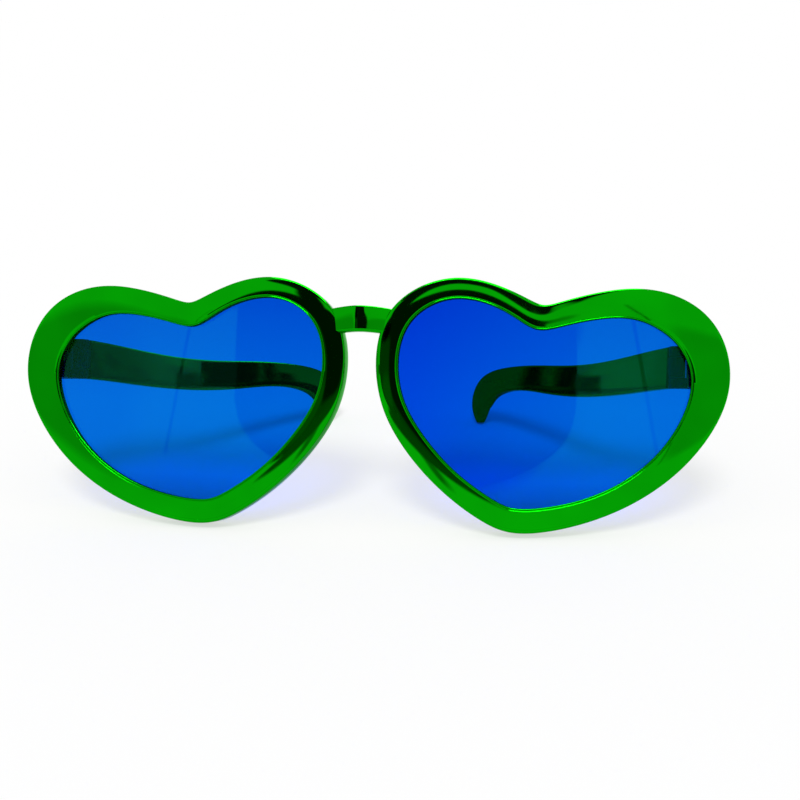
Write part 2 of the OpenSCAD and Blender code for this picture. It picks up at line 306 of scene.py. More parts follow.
def remap(tree, value, low, high, to_low, to_high):
    """Value from low..high to to_low..to_high, held at the ends."""
    return add(tree, "ShaderNodeMapRange", i0=value, i1=low, i2=high, i3=to_low,
               i4=to_high).outputs[0]


def reckon(tree, operation, *values):
    """What a Math node makes of the values, in their order."""
    places = {f"i{k}": value for k, value in enumerate(values)}
    return add(tree, "ShaderNodeMath", {"operation": operation}, **places).outputs[0]


def between(tree, share, first, second):
    """The first shader where the share is 0, the second where it is 1, and a mix in between."""
    return add(tree, "ShaderNodeMixShader", i0=share, i1=first, i2=second).outputs[0]


def drifting(tree, noise, span, thin_share, colour):
    """A colour that drifts from a share of itself to the whole of it as a noise crosses a span.
    Places 6 and 7 are the Mix node's two colours."""
    thin = tuple(thin_share * part for part in colour)
    return add(tree, "ShaderNodeMix", {"data_type": "RGBA"}, i6=(*thin, 1), i7=(*colour, 1),
               i0=remap(tree, noise, *span, 0, 1)).outputs["Result"]


print("node helpers ready")

# %% The metal skin
FRONT_GREEN, TEMPLE_GREEN = (0.0, 0.36, 0.0), (0.0, 0.35, 0.006)
# A dark green for the hinge parts: painted shade for the recess they lie in
RECESS_SHADE_GREEN = (0.002, 0.05, 0.015)
EDGE_TINT = (0.05, 0.6, 0.05)
LACQUER_COVER, LACQUER_IOR, LACQUER_ROUGH = 0.35, 1.12, 0.04
WAVE_SCALE, WAVE_STRENGTH, WAVE_HEIGHT = 28.0, 0.12, 0.0006
GRAIN_SCALE, GRAIN_SPAN, MIRROR_ROUGH = 420.0, (0.35, 0.75), (0.035, 0.085)
CLOUD_SCALE, THIN_LACQUER = 34.0, 0.86
# The recess's painted shade: how fine and how dark its patches are, its shine and roughness
PATCH_SCALE, SHADE_PATCH_SHARE, RECESS_SHINE, RECESS_ROUGH = 260.0, 0.35, 0.1, (0.3, 0.5)
MIDDLE_SPAN, WIDE_SPAN = (0.35, 0.65), (0.3, 0.7)


def mirror_green(name, colour):
    """Green lacquer over a metal skin, with slight waves, uneven gloss and uneven lacquer."""
    material, tree, shader = new_material(name)
    place = object_coordinates(tree)
    waves = add(tree, "ShaderNodeTexNoise", Vector=place, Scale=WAVE_SCALE, Detail=1.0)
    bump = add(tree, "ShaderNodeBump", Height=waves.outputs[0], Strength=WAVE_STRENGTH,
               Distance=WAVE_HEIGHT)
    tree.links.new(bump.outputs[0], shader.inputs["Normal"])
    grain = add(tree, "ShaderNodeTexNoise", Vector=place, Scale=GRAIN_SCALE, Detail=3.0)
    rough = remap(tree, grain.outputs[0], *GRAIN_SPAN, *MIRROR_ROUGH)
    tree.links.new(rough, shader.inputs["Roughness"])
    clouds = add(tree, "ShaderNodeTexNoise", Vector=place, Scale=CLOUD_SCALE, Detail=2.0)
    skin = drifting(tree, clouds.outputs[0], MIDDLE_SPAN, THIN_LACQUER, colour)
    tree.links.new(skin, shader.inputs["Base Color"])
    shader.inputs["Metallic"].default_value = 1.0
    shader.inputs["Specular Tint"].default_value = (*EDGE_TINT, 1)
    shader.inputs["Coat Weight"].default_value = LACQUER_COVER
    shader.inputs["Coat Roughness"].default_value = LACQUER_ROUGH
    shader.inputs["Coat IOR"].default_value = LACQUER_IOR
    return material


def dull_painted_shade_green(name, colour):
    """Painted shade for the hinge's recess: a dull, patchy dark green in place of the mirror skin.
    """
    material, tree, shader = new_material(name)
    patches = add(tree, "ShaderNodeTexNoise", Vector=object_coordinates(tree),
                  Scale=PATCH_SCALE, Detail=3.0)
    rough = remap(tree, patches.outputs[0], *WIDE_SPAN, *RECESS_ROUGH)
    tree.links.new(rough, shader.inputs["Roughness"])
    skin = drifting(tree, patches.outputs[0], MIDDLE_SPAN, SHADE_PATCH_SHARE, colour)
    tree.links.new(skin, shader.inputs["Base Color"])
    shader.inputs["Specular IOR Level"].default_value = RECESS_SHINE
    return material


front_green = mirror_green("front_green_mirror", FRONT_GREEN)
temple_green = mirror_green("temple_green_mirror", TEMPLE_GREEN)
# The hinge parts' material paints the shade of their recess
recess_painted_shade = dull_painted_shade_green("recess_painted_shade", RECESS_SHADE_GREEN)
print("front, temple and recess green ready")

# %% [markdown]
# The lenses are thin clear sheet, dyed blue. Principled glass with no roughness and the dye as
# its base colour gives both faces their reflections. Lamps can't shine through refracting glass
# in this renderer, so a Transparent shader of the same dye takes over for shadow rays alone,
# and the floor behind gets its blue light. The shares below say how much of each dye is left at
# the top, at the foot and beside the right lens's nose. The darker blue at the foot, and by the
# right lens's nose, is painted shade, for shadow on the floor seen through the sheet. The places
# are in metres, as Object coordinates give them.

# %% The lens sheet
SHEET_IOR = 1.48
SHEET_DYE, SHEET_SHINE = (0.0, 0.108, 0.73), (0.02, 1.0, 0.3)
# The foot and nose values below are painted shade: shadow on the floor seen through the sheet
DYE_HEIGHTS, SHADOW_FOOT_HEIGHTS = (0.045, 0.085), (0.011, 0.0195)
SHADE_NOSE_PLACES, LENS_SWAP = (0.02, 0.09), 0.005
BLUE_TOP_SHARE, GREEN_LOW_SHARE, GREEN_TOP_SHARE = 0.88, 1.26, 0.71
SHADE_NOSE_GREEN_SHARES, SHADOW_FOOT_SHARE = (0.52, 0.97), 0.6


def dyed_sheet_with_painted_shade(name, dye, shine):
    """Blue sheet: glass for what is seen, a transparent dye for rays from the lamps. The dye is
    deeper towards the top; painted shade darkens it at the foot, and on the right lens by the
    nose."""
    material, tree, shader = new_material(name)
    x, _, z = add(tree, "ShaderNodeSeparateXYZ", Vector=object_coordinates(tree)).outputs
    blue = remap(tree, z, *DYE_HEIGHTS, dye[2], BLUE_TOP_SHARE * dye[2])
    green = remap(tree, z, *DYE_HEIGHTS, GREEN_LOW_SHARE * dye[1], GREEN_TOP_SHARE * dye[1])
    # Painted shadow: the dye darkens towards the foot
    foot = remap(tree, z, *SHADOW_FOOT_HEIGHTS, SHADOW_FOOT_SHARE, 1)
    # Painted shade: on the right lens only, the green darkens towards the nose
    on_left = remap(tree, x, -LENS_SWAP, LENS_SWAP, 1, 0)
    nose = reckon(tree, "MAXIMUM", remap(tree, x, *SHADE_NOSE_PLACES, *SHADE_NOSE_GREEN_SHARES), on_left)
    green = reckon(tree, "MULTIPLY", reckon(tree, "MULTIPLY", green, nose), foot)
    blue = reckon(tree, "MULTIPLY", blue, foot)
    depth = add(tree, "ShaderNodeCombineColor", Red=dye[0], Green=green, Blue=blue)
    tree.links.new(depth.outputs[0], shader.inputs["Base Color"])
    shader.inputs["Transmission Weight"].default_value = 1.0
    shader.inputs["Roughness"].default_value = 0.0
    shader.inputs["IOR"].default_value = SHEET_IOR
    shader.inputs["Specular Tint"].default_value = (*shine, 1)
    clear = add(tree, "ShaderNodeBsdfTransparent", Color=(*dye, 1))
    shadow = add(tree, "ShaderNodeLightPath").outputs["Is Shadow Ray"]
    seen = between(tree, shadow, shader.outputs[0], clear.outputs[0])
    tree.links.new(seen, tree.nodes["Material Output"].inputs["Surface"])
    return material


lens_blue = dyed_sheet_with_painted_shade("lens_blue_sheet", SHEET_DYE, SHEET_SHINE)
print("lens sheet ready")

# %% Screw steel
STEEL, TURNED_SCALE, TURNED_ROUGH = (0.6, 0.59, 0.57), 3000.0, (0.25, 0.45)


def turned_steel(name):
    """Plain screw steel, with the fine marks that turning leaves."""
    material, tree, shader = new_material(name)
    marks = add(tree, "ShaderNodeTexNoise", Vector=object_coordinates(tree), Scale=TURNED_SCALE)
    rough = remap(tree, marks.outputs[0], *WIDE_SPAN, *TURNED_ROUGH)
    tree.links.new(rough, shader.inputs["Roughness"])
    shader.inputs["Metallic"].default_value = 1.0
    shader.inputs["Base Color"].default_value = (*STEEL, 1)
    return material


screw_steel = turned_steel("screw_steel")
print("screw steel ready")

# %% [markdown]
# ## The rims
# A rim is one section carried round the heart. A bevelled curve would carry it too, but with
# one width, and this rim is nearly twice as wide at its outer lobe as at the nose. So the points
# are worked out here, and each station's section is as wide as the rim is there. From the outer
# wall's front edge the section runs over the crowned face and a small bead beside the lens,
# down into the lens groove, round the lip behind it, through the hollow of the moulding and up
# the outer wall again. The lip ends a little short of the opening, so that less of it shows
# through the sheet. The whole rim is one array: stations by section points.

# %% Rims
RIM_STEPS = 24
FACE_STEPS = 14
# The bead in shares of its width: in from the opening, and back
BEAD_SHARES = np.array([[1.9, -0.02], [1.45, 0.12], [1.1, 0.5], [0.7, -0.35], [0.15, -0.1],
                        [0, 0.8]])
GROOVE_T = LENS_T + 2 * LENS_PLAY
GROOVE_IN = LENS_BITE + LENS_PLAY
LIP_OPEN = 0.6
LIP_BACK = LENS_BACK + GROOVE_T + WALL
FACE_START = 1.4 * EDGE_R
LIP_ROUND, HOLLOW_ROUND, BACK_ROUND = 0.3, 0.6, 0.25


def face_rise(share, crown, place):
    """Height of the rim's face: a parabola, highest where its share of the width is the place."""
    return -crown * (1 - ((share - place) / place) ** 2)


def rim_sections(width, crown, place):
    """Sections for all stations at once, as (in from the outer edge, back) in mm: the face's
    parabola, the bead's curve, and the corners of groove, lip, hollow and outer wall."""
    w, crown, place = width[:, None], crown[:, None], place[:, None]
    zero = np.zeros_like(w)
    first, last = FACE_START / w, 1 - BEAD_SHARES[0, 0] * BEAD_W / w
    share = first + (last - first) * np.linspace(0, 1, FACE_STEPS)[None, :]
    bead = open_curve(BEAD_SHARES, 4)[1:] * BEAD_W
    lip = [(w, LENS_BACK), (w - GROOVE_IN, LENS_BACK), (w - GROOVE_IN, LENS_BACK + GROOVE_T),
           (w - LIP_OPEN, LENS_BACK + GROOVE_T), (w - LIP_OPEN, LIP_BACK),
           (w - GROOVE_IN - WALL, LIP_BACK), (w - GROOVE_IN - WALL, WALL), (WALL + zero, WALL),
           (WALL + zero, RIM_DEPTH), (zero, RIM_DEPTH), (zero, 0)]
    corners = np.concatenate([
        np.stack([share * w, face_rise(share, crown, place)], -1),
        np.stack([w - bead[None, :, 0], face_rise(1, crown, place) + bead[None, :, 1] + zero], -1),
        np.stack([np.concatenate([x + zero for x, _ in lip], 1),
                  np.concatenate([y + zero for _, y in lip], 1)], -1)], 1)
    unrounded = [0] * (FACE_STEPS + len(bead) + 4)
    return rounded(corners, unrounded + [LIP_ROUND, LIP_ROUND, HOLLOW_ROUND, HOLLOW_ROUND,
                                         BACK_ROUND, BACK_ROUND, EDGE_R])


def rim_points(side):
    """A rim's points, (stations, section points, 3): each station's section, laid square across
    the rim and pushed back by the bend. Side is 1 on the right, -1 on the left."""
    outer, inner = closed_curve(heart, RIM_STEPS), closed_curve(opening, RIM_STEPS)
    across = inner - outer
    width = np.linalg.norm(across, axis=1)
    rise, place = closed_curve(np.column_stack([CROWN_RISE_SHARES, CROWN_PLACE_SHARES]),
                               RIM_STEPS).T
    section = rim_sections(width, RIM_CROWN * rise, place)
    q = outer[:, None, :] + section[..., :1] * (across / width[:, None])[:, None, :]
    return np.stack([side * q[..., 0], bend(q[..., 0]) + section[..., 1], q[..., 1]], -1)


SIDES = {"right": 1, "left": -1}
for side, sign in SIDES.items():
    rim = make_piece(f"rim_{side}", *looped(rim_points(sign)), front_green, "front",
                     "front_plastic")
    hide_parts("front_frame")

# %% [markdown]
# ## The bridge
# The bar between the hearts is two flat halves that slope back from a rounded ridge in its
# middle. The ridge mirrors something else than the halves do, which is the dark upright stripe
# there. A bevelled box with a loop cut would come close, but the stripe's width is set by the
# ridge's radius, so the ridge is a formula here: the bar's section, carried from rim to rim.

# %% Bridge
BRIDGE_STEPS = 48
BRIDGE_ROUND, BEVEL_ROUND = 0.6, 0.25
NOSE_SIDE_SHARE = 0.2


def x_at(rise, stretch):
    """Where a stretch of outline passes a height: sorted by height, its points are looked up."""
    stretch = stretch[np.argsort(stretch[:, 1])]
    return np.interp(rise, stretch[:, 1], stretch[:, 0])


nose_side = rim_edge[rim_edge[:, 0] < NOSE_GAP / 2 + NOSE_SIDE_SHARE * HEART_W]
BRIDGE_END = x_at(BRIDGE_RISE + BRIDGE_H / 2, nose_side) + WALL


def roof(x):
    """A ridge: two slopes, joined by a hyperbola whose radius at the top is the ridge's."""
    return math.tan(BRIDGE_SLOPE) * np.sqrt(x ** 2 + (RIDGE_R * math.tan(BRIDGE_SLOPE)) ** 2)


def bridge_points():
    """The bar's points, (stations across, section points, 3): its front follows the roof, and
    its middle line a low arch, a parabola."""
    x = np.linspace(-1, 1, BRIDGE_STEPS + 1) * BRIDGE_END
    front = bend(BRIDGE_END) + BRIDGE_SET + roof(x - RIDGE_ASIDE) - roof(BRIDGE_END)
    half, bevel, t = BRIDGE_H / 2, BRIDGE_BEVEL, BRIDGE_T
    corners = np.array([[[0, half], [t, half], [t, -half], [bevel, -half], [0, bevel - half]]])
    section = rounded(corners, [BRIDGE_ROUND] * 3 + [BEVEL_ROUND] * 2)
    rise = BRIDGE_RISE + BRIDGE_ARCH * (0.5 - (x / BRIDGE_END) ** 2)
    back, up = section[..., 0] + front[:, None], section[..., 1] + rise[:, None]
    return np.stack([np.broadcast_to(x[:, None], back.shape), back, up], -1)


bridge = make_piece("bridge", *capped(bridge_points()), front_green, "front", "front_plastic")
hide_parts("front_frame")

# %% [markdown]
# ## The lenses
# Each lens is a flat sheet cut to the heart, sprung to the front's gentle arc. A filled outline
# would be one large face, which can't bend, so rings of the outline, shrunk towards a point in
# the middle, make both of its faces. Both follow the arc, one a sheet's thickness behind.

# %% Lenses
LENS_RINGS, LENS_STEPS = 26, 12


def lens_points(side):
    """Front rings from the middle out, then back rings from the edge in, each a shrunk outline,
    and a pole for the middle of each face."""
    outer, inner = closed_curve(heart, LENS_STEPS), closed_curve(opening, LENS_STEPS)
    across = outer - inner
    edge = inner + LENS_BITE * across / np.linalg.norm(across, axis=1, keepdims=True)
    middle = (edge.min(0) + edge.max(0)) / 2
    share = np.linspace(0, 1, LENS_RINGS + 1)[1:]
    flat = middle + share[:, None, None] * (edge - middle)[None]
    front = bend(flat[..., 0]) + LENS_BACK + LENS_PLAY
    rings = np.stack([side * flat[..., 0], front, flat[..., 1]], -1)
    behind = rings[::-1] + [0, LENS_T, 0]
    poles = np.array([[side * middle[0], bend(middle[0]) + LENS_BACK + LENS_PLAY, middle[1]]])
    return np.concatenate([rings, behind]), np.concatenate([poles, poles + [0, LENS_T, 0]])


for side, sign in SIDES.items():
    lens = make_piece(f"lens_sheet_{side}", *capped(*lens_points(sign)), lens_blue, "front",
                      "lens_sheet", sharp_degrees=60)
    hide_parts(f"lens_{side}")

# %% [markdown]
# ## The temples
# A temple is a flat blade whose middle line dips, rises and turns down into the ear hook. Its
# section is a bar with rounded edges, square to that line, which gets lower towards the hook's
# tip. A curve with a bevel and a taper could make it, but its ends and edges would be harder to
# hold to size. Its inner face leans by a small draft, as a moulding's does to leave its tool,
# and the draft decides what that face mirrors: the room before the pair, seen through the lens.
# It is drawn pointing straight back from the hinge, then folded in about the hinge.

# %% Temples
TEMPLE_STEPS, EDGE_STEPS = 10, 7
TEMPLE_START = BARREL_R + STOP_GAP


def temple_points():
    """The blade's points with the hinge's axis at x = 0 and y = 0, (stations, section, 3). Its
    middle line and height are one B-spline, and its thickness falls with the square of the way
    along."""
    path = open_curve(np.column_stack([
        TEMPLE_START + TEMPLE_SHARES[:, 0] * (TEMPLE_LEN - TEMPLE_START),
        HINGE_RISE + TEMPLE_SHARES[:, 1] * HOOK_DROP, TEMPLE_SHARES[:, 2] * TEMPLE_H]),
        TEMPLE_STEPS)
    step = np.gradient(path[:, :2], axis=0)
    up = np.column_stack([-step[:, 1], step[:, 0]])
    up /= np.linalg.norm(up, axis=1, keepdims=True)
    up[0] = (0, 1)  # the end beside the hinge is cut upright
    f = np.linspace(0, 1, len(path))
    half_h, half_t = path[:, 2] / 2, (TEMPLE_T - (TEMPLE_T - HOOK_T) * f ** 2) / 2
    draft = math.tan(TEMPLE_DRAFT) * half_h
    corners = np.stack([np.column_stack([x, z]) for x, z in (
        (half_t, half_h), (draft - half_t, half_h), (-draft - half_t, -half_h),
        (half_t, -half_h))], 1)
    section = rounded(corners, [TEMPLE_EDGE] * 4, steps=EDGE_STEPS)
    return np.stack([section[..., 0], path[:, None, 0] + section[..., 1] * up[:, None, 0],
                     path[:, None, 1] + section[..., 1] * up[:, None, 1]], -1)


def on_hinge(points, side, fold=FOLD):
    """Points drawn about a hinge's axis, turned in by the fold and set on that side's hinge."""
    x, y, z = np.moveaxis(points, -1, 0)
    turned_x = HINGE_X + x * math.cos(fold) - y * math.sin(fold)
    return np.stack([side * turned_x, HINGE_Y + x * math.sin(fold) + y * math.cos(fold), z], -1)


for side, sign in SIDES.items():
    temple = make_piece(f"temple_blade_{side}", *capped(on_hinge(temple_points(), sign)),
                        temple_green, f"temple_{side}", "temple_plastic")
    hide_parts(f"temple_{side}")

# %% [markdown]
# ## The hinges
# The temple's tongue turns between two ears of the front's lug. Ear and tongue have the same
# kind of plan: a round barrel about the screw, and an arm that leaves it. Cutting the hole with
# a boolean would leave long thin faces. Seen from the axis, such a plan is a distance for each
# direction, so a washer-like section carried round the axis makes the whole piece with its
# hole. Behind the ears, a block joins them to the rim and a web closes their inner side.

# %% Ears and tongues
HINGE_LOW = HINGE_RISE - TEMPLE_H / 2
TONGUE_H = TEMPLE_H - 2 * EAR_H - 2 * EAR_GAP
TONGUE_ARM = 2 * TEMPLE_START
ROUND_STEPS, BARREL_ROUND, ARC_STEPS = 72, 0.35, 4
TEMPLE_SIDE_SHARE = 0.85


def barrel_with_arm(low, high, arm, half_width, hole, back=False, counterbore=None):
    """A barrel with an arm along x, or along y where back is true: the plan's radius in each
    direction is the barrel's, or the arm's where that reaches further. The section starts at
    the hole's foot and runs out, up the outside and in again, by way of any counterbore."""
    turn = np.linspace(0, 2 * np.pi, ROUND_STEPS, endpoint=False)
    c, s = np.cos(turn), np.sin(turn)
    ahead, aside = (s, c) if back else (c, s)
    tiny = 1e-6
    reach = np.minimum(arm / np.maximum(ahead, tiny), half_width / np.maximum(np.abs(aside), tiny))
    outer = np.where(ahead > 0, np.maximum(reach, BARREL_R), BARREL_R)
    wall = np.full_like(outer, hole)
    corners = [[wall, low], [outer, low], [outer, high]]
    if counterbore:
        wide = np.full_like(outer, counterbore[0])
        corners += [[wide, high], [wide, high - counterbore[1]], [wall, high - counterbore[1]]]
    else:
        corners += [[wall, high]]
    section = np.stack([np.column_stack([r, np.full_like(r, z)]) for r, z in corners], 1)
    unrounded = [0] * (len(corners) - 3)
    section = rounded(section, [0, BARREL_ROUND, BARREL_ROUND] + unrounded, steps=ARC_STEPS)
    r, z = section[..., 0], section[..., 1]
    return np.stack([r * c[:, None], r * s[:, None], z], -1)


temple_side = NOSE_GAP / 2 + TEMPLE_SIDE_SHARE * HEART_W
ROOT_X = (x_at(HINGE_RISE, lens_edge[lens_edge[:, 0] > temple_side - RIM_W])
          + x_at(HINGE_RISE, rim_edge[rim_edge[:, 0] > temple_side])) / 2
hole_r, head_r = SCREW_D / 2 + SCREW_PLAY, HEAD_D / 2 + HEAD_PLAY
tongue_low, ears_top = HINGE_RISE - TONGUE_H / 2, HINGE_LOW + TEMPLE_H
EARS = [("lower", HINGE_LOW, HINGE_LOW + EAR_H, None),
        ("upper", ears_top - EAR_H, ears_top, (head_r, HEAD_H + HEAD_PLAY))]
# Ears and tongues are coloured with the painted shade, not the mirror skin
for side, sign in SIDES.items():
    for name, low, high, counterbore in EARS:
        grid = barrel_with_arm(low, high, ROOT_X - HINGE_X, BARREL_R, hole_r,
                               counterbore=counterbore)
        ear = make_piece(f"ear_{name}_{side}", *looped(on_hinge(grid, sign, fold=0)),
                         recess_painted_shade, "front", "front_plastic")
        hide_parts("front_frame")
    grid = barrel_with_arm(tongue_low, tongue_low + TONGUE_H, TONGUE_ARM,
                           TEMPLE_T / 2 - STOP_GAP, hole_r, back=True)
    tongue = make_piece(f"tongue_{side}", *looped(on_hinge(grid, sign)), recess_painted_shade,
                        f"temple_{side}", "temple_plastic")
    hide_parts(f"temple_{side}")

# %% Lug blocks
PLAN_ROUND, ROUND_OVER = 0.6, 0.5


def prism(outline, low, high):
    """A block on a convex plan, its edges rounded over: rings of the plan, drawn in at both
    ends towards its middle, and a pole for each end."""
    corners = rounded(outline[None], [PLAN_ROUND] * len(outline), steps=ARC_STEPS)[0]
    middle = corners.mean(0)
    size = np.abs(corners - middle).max()
    drawn_in = 1 - ROUND_OVER / size
    heights = [(low, drawn_in), (low + ROUND_OVER, 1), (high - ROUND_OVER, 1), (high, drawn_in)]
    rings = np.stack([np.column_stack([middle + s * (corners - middle), np.full(len(corners), z)])
                      for z, s in heights])
    poles = np.array([[*middle, low], [*middle, high]])
    return rings, poles


root_in, root_out = ROOT_X - ROOT_W / 2, ROOT_X + ROOT_W / 2
root_front = float(bend(ROOT_X)) + WALL / 2
web_in, web_front = HINGE_X + TEMPLE_START, float(bend(HINGE_X)) + LIP_BACK - WALL / 2
root_plan = np.array([[root_in, root_front], [root_out, root_front],
                      [root_out, HINGE_Y - BARREL_R / 2], [ROOT_X, HINGE_Y + BARREL_R],
                      [root_in, HINGE_Y + BARREL_R]])
web_plan = np.array([[web_in, web_front], [ROOT_X, web_front], [ROOT_X, HINGE_Y + BARREL_R],
                     [web_in, HINGE_Y + BARREL_R]])
# The lug blocks are coloured with the painted shade too
for side, sign in SIDES.items():
    for name, plan in (("root", root_plan), ("web", web_plan)):
        points, faces = capped(*prism(plan, HINGE_LOW, ears_top))
        block = make_piece(f"lug_{name}_{side}", points * [sign, 1, 1], faces, recess_painted_shade,
                           "front", "front_plastic")
        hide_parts("front_frame")

# %% [markdown]
# The two screws are small and plain, and the frame's own are right as they are. They only take
# the steel.

# %% Screws
for side in SIDES:
    screw = frame["nodes"][f"hinge_screw_{side}"]
    screw.data.materials.clear()
    screw.data.materials.append(screw_steel)
    print(screw.name, "in", screw_steel.name)

# %% [markdown]
# ## The studio
# A mirror is only as good as what it mirrors. Round the pair the world is plain white, in the
# camera's eye and in every mirror, while its light on the pair is kept lower. The floor is white
# paper. Part of its brightness is given to it directly, so that it stays white while it still
# takes the pair's soft shadow.

# %% World
world = bpy.data.worlds.new("white_room")
bpy.context.scene.world = world
world.use_nodes = True
tree = world.node_tree
ROOM_LIGHT = 0.62
shown = tree.nodes["Background"]
shown.inputs["Color"].default_value = (1, 1, 1, 1)
shown.inputs["Strength"].default_value = 1.0
lights = add(tree, "ShaderNodeBackground", Color=(1, 1, 1, 1), Strength=ROOM_LIGHT)
path = add(tree, "ShaderNodeLightPath").outputs
seen = reckon(tree, "MAXIMUM", path["Is Camera Ray"], path["Is Glossy Ray"])
seen = reckon(tree, "MAXIMUM", seen, path["Is Transmission Ray"])
room = between(tree, seen, lights.outputs[0], shown.outputs[0])
tree.links.new(room, tree.nodes["World Output"].inputs["Surface"])
print("white room, lighting at", ROOM_LIGHT)

# %% Floor
FLOOR_R, PAPER_WHITE = 12.0, 0.8
GLOW_IN_MIRRORS, GLOW_SEEN = 0.2, 0.6


def disc(name, radius, steps=96):
    """A flat disc on the ground: points at its radius, and one fan to its middle."""
    turn = np.linspace(0, 2 * np.pi, steps, endpoint=False)
    points = np.column_stack([radius * np.cos(turn), radius * np.sin(turn), 0 * turn])
    mesh = bpy.data.meshes.new(name)
    mesh.from_pydata(np.vstack([points, [0, 0, 0]]).tolist(), [],
                     fan(np.arange(steps), steps).tolist())
    piece = bpy.data.objects.new(name, mesh)
    bpy.context.scene.collection.objects.link(piece)
    piece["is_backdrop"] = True
    return piece


def half_lit(tree, glow):
    """White paper that gives this much of its white itself and takes the rest from lamps."""
    diffuse = add(tree, "ShaderNodeBsdfDiffuse", Color=(1 - glow, 1 - glow, 1 - glow, 1))
    emission = add(tree, "ShaderNodeEmission", Strength=glow)
    return add(tree, "ShaderNodeAddShader", i0=diffuse.outputs[0],
               i1=emission.outputs[0]).outputs[0]


def white_paper():
    """Paper that glows most to the camera, less in mirrors and lenses, and not on the pair."""
    material, tree, shader = new_material("white_paper")
    tree.nodes.remove(shader)
    path = add(tree, "ShaderNodeLightPath").outputs
    plain = add(tree, "ShaderNodeBsdfDiffuse", Color=(PAPER_WHITE, PAPER_WHITE, PAPER_WHITE, 1))
    behind = reckon(tree, "MAXIMUM", path["Is Glossy Ray"], path["Is Transmission Ray"])
    shown = between(tree, behind, plain.outputs[0], half_lit(tree, GLOW_IN_MIRRORS))
    shown = between(tree, path["Is Camera Ray"], shown, half_lit(tree, GLOW_SEEN))
    tree.links.new(shown, tree.nodes["Material Output"].inputs["Surface"])
    return material


floor = disc("floor", FLOOR_R)
floor.data.materials.append(white_paper())
print("paper floor", 2 * FLOOR_R, "m across")

# %% [markdown]
# ## Cards for the mirrors
# Photographers of chrome hang dark and grey cards round it, because a mirror in a white room
# looks flat. The cards here have soft edges and are seen by reflections alone. Where each must
# stand was worked out backwards: a ray from the camera was turned off the rim, the lens or the
# temple and followed to the card's plane. Those beside the pair are only for the temples behind
# the lenses, so they show themselves only to rays that came through a lens. Two strip lights
# above draw the thin bright lines, one along the beads and one along the left temple's edge.
# Ray visibility could hide a card from the camera, but not tell a first mirror from a second or
# a ray through a lens from any other, so the cards' material asks the Light Path node for that.

# %% Cards
CARD_STEPS = 8


def soft_card(name, outline, grey, blur, place, mirrors=9, by_lens=False):
    """A card that only mirrors and the lenses' faces show, and only to rays that have met no more
    than so many mirrors, and where by_lens is true only to rays that came through a lens. Its
    flat outline is a closed curve by control points, and place turns flat points into the
    wearer's frame. A ring inside the curve has a cover of 1 and one outside it has 0, so the
    card fades out over twice the blur. COMPARE is 1 within a tolerance, here from the first
    mirror to the last one allowed."""
    flat = closed_curve(np.array(outline, float), CARD_STEPS)
    step = np.roll(flat, -1, 0) - np.roll(flat, 1, 0)
    outwards = np.column_stack([step[:, 1], -step[:, 0]]) / np.linalg.norm(step, axis=1)[:, None]
    turning = (flat[:, 0] * np.roll(flat[:, 1], -1) - flat[:, 1] * np.roll(flat[:, 0], -1)).sum()
    outwards *= np.sign(turning)
    rings = np.concatenate([flat - blur * outwards, flat + blur * outwards])
    count = len(flat)
    mesh = bpy.data.meshes.new(name)
    mesh.from_pydata(stand(place(rings)).tolist(), [],
                     [list(range(count))] + grid_quads(2, count).tolist())
    cover = mesh.attributes.new("cover", "FLOAT", "POINT")
    cover.data.foreach_set("value", np.repeat([1.0, 0.0], count))
    card = bpy.data.objects.new(name, mesh)
    bpy.context.scene.collection.objects.link(card)
    card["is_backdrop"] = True
    material, tree, shader = new_material(name)
    tree.nodes.remove(shader)
    emission = add(tree, "ShaderNodeEmission", Color=(grey, grey, grey, 1), Strength=1.0)
    clear = add(tree, "ShaderNodeBsdfTransparent")
    path = add(tree, "ShaderNodeLightPath").outputs
    mirrored = reckon(tree, "COMPARE", path["Glossy Depth"], (1 + mirrors) / 2, mirrors / 2)
    if by_lens:
        through = remap(tree, path["Transmission Depth"], 0, 1, 0, 1)
        mirrored = reckon(tree, "MULTIPLY", mirrored, through)
    share = add(tree, "ShaderNodeAttribute", {"attribute_name": "cover"}).outputs["Fac"]
    shows = reckon(tree, "MULTIPLY", mirrored, share)
    card_shader = between(tree, shows, clear.outputs[0], emission.outputs[0])
    tree.links.new(card_shader, tree.nodes["Material Output"].inputs["Surface"])
    mesh.materials.append(material)
    for rays in ("camera", "diffuse", "shadow", "volume_scatter"):
        setattr(card, f"visible_{rays}", False)


def in_front(distance):
    """Places flat points (across, up) on an upright plane this far before the pair."""
    return lambda flat: np.column_stack([flat[:, 0], np.full(len(flat), -distance), flat[:, 1]])


def beside(distance):
    """Places flat points (back, up) on an upright plane this far to the right of the middle."""
    return lambda flat: np.column_stack([np.full(len(flat), distance), flat])


def above(height):
    """Places flat points (across, back) on a plane this far above the hearts' middle."""
    return lambda flat: np.column_stack([flat, np.full(len(flat), height)])


def strip(start, end, half_width):
    """A straight strip's outline from start to end, each corner given twice to keep it crisp."""
    start, end = np.array(start, float), np.array(end, float)
    along = (end - start) / np.linalg.norm(end - start)
    aside = half_width * np.array([along[1], -along[0]])
    return np.repeat([start + aside, end + aside, end - aside, start - aside], 2, axis=0)


print("cards can be cut")

